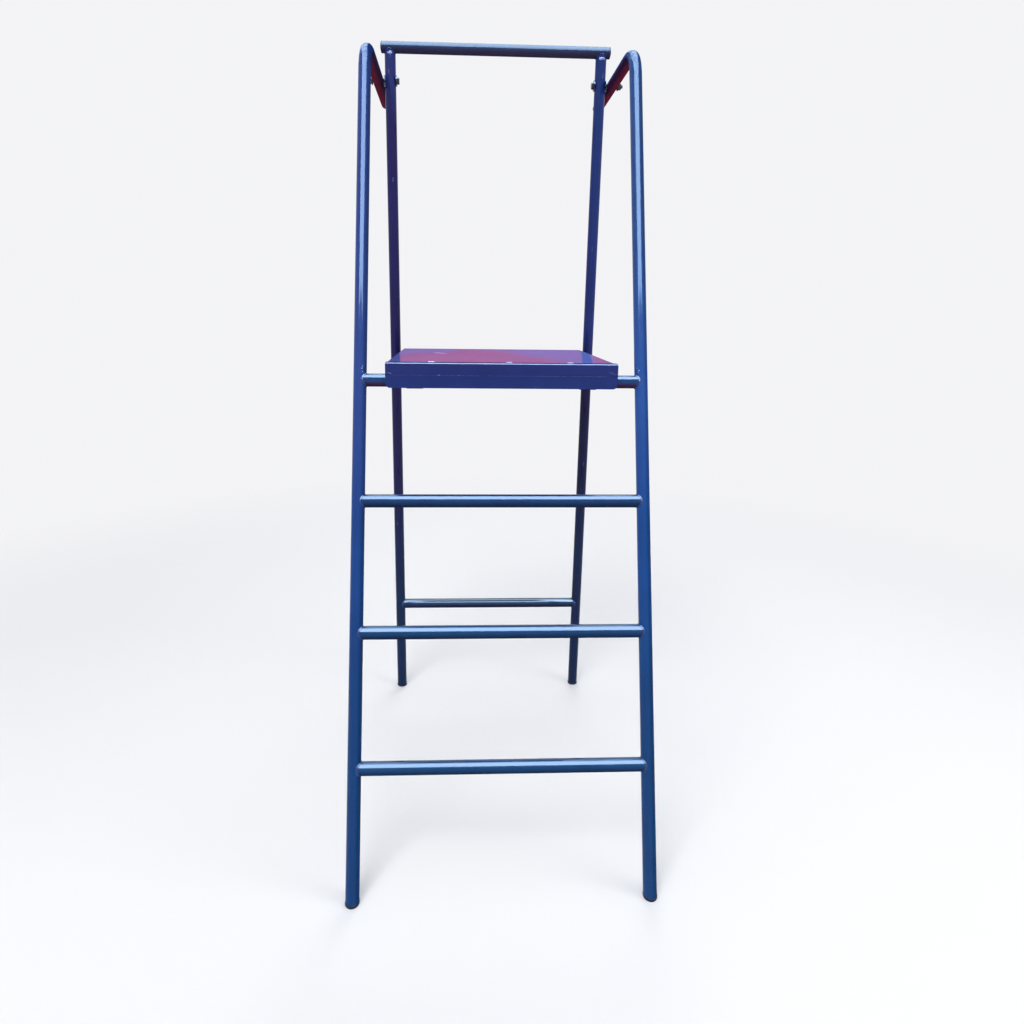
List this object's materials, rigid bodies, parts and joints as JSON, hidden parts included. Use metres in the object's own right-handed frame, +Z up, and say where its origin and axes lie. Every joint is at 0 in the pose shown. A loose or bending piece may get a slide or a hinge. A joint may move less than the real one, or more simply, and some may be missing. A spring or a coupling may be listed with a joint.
{
  "type": "volleyball referee chair",
  "caption": "Tall folding referee chair: ladder of bent steel tube with guard arms, hinged rear frame and a sheet-steel seat that hooks over its rear bar.",
  "frame": {"origin": "on the floor under the middle of the chair", "axes": "X across the chair, +Y towards the back, +Z up"},
  "size_m": [0.7534, 1.1114, 2.0896],
  "materials": {
    "ladder_enamel": "glossy blue enamel over steel tube",
    "rear_enamel": "glossy navy blue enamel over steel tube",
    "seat_enamel": "glossy royal blue enamel over sheet steel",
    "plug_plastic": "moulded dark plastic",
    "pivot_hardware": "steel bolts, nuts and washers painted over with the frame"
  },
  "bodies": {
    "ladder": {"left_stile": "ladder_enamel", "right_stile": "ladder_enamel", "bottom_rung": "ladder_enamel", "lower_rung": "ladder_enamel", "upper_rung": "ladder_enamel", "seat_rung": "ladder_enamel", "left_front_foot": "plug_plastic", "right_front_foot": "plug_plastic", "left_arm_plug": "plug_plastic", "right_arm_plug": "plug_plastic", "pivot_bolts": "pivot_hardware", "head_washers": "pivot_hardware", "spacer_washers": "pivot_hardware", "nut_washers": "pivot_hardware", "pivot_nuts": "pivot_hardware"},
    "rear_frame": {"left_upright": "rear_enamel", "right_upright": "rear_enamel", "top_bar": "rear_enamel", "top_bar_plugs": "plug_plastic", "rear_seat_bar": "rear_enamel", "rear_lower_bar": "rear_enamel", "left_rear_foot": "plug_plastic", "right_rear_foot": "plug_plastic"},
    "seat": {"seat_pan": "seat_enamel", "front_apron": "seat_enamel", "left_runner": "seat_enamel", "right_runner": "seat_enamel", "left_hinge_bracket": "seat_enamel", "right_hinge_bracket": "seat_enamel", "left_seat_hook": "seat_enamel", "right_seat_hook": "seat_enamel"}
  },
  "joints": [
    {"name": "rear_fold", "type": "hinge", "parent": "ladder", "child": "rear_frame", "pos_m": [0, 0.33576, 1.98464], "axis": [-1, 0, 0], "range_deg": [0, 25]},
    {"name": "seat_flip", "type": "hinge", "parent": "ladder", "child": "seat", "pos_m": [0, -0.19198, 1.164], "axis": [1, 0, 0], "range_deg": [0, 72.5]}
  ],
  "couplings": [
    {"joint": "seat_flip", "follows": "rear_fold", "ratio": 2.9}
  ]
}
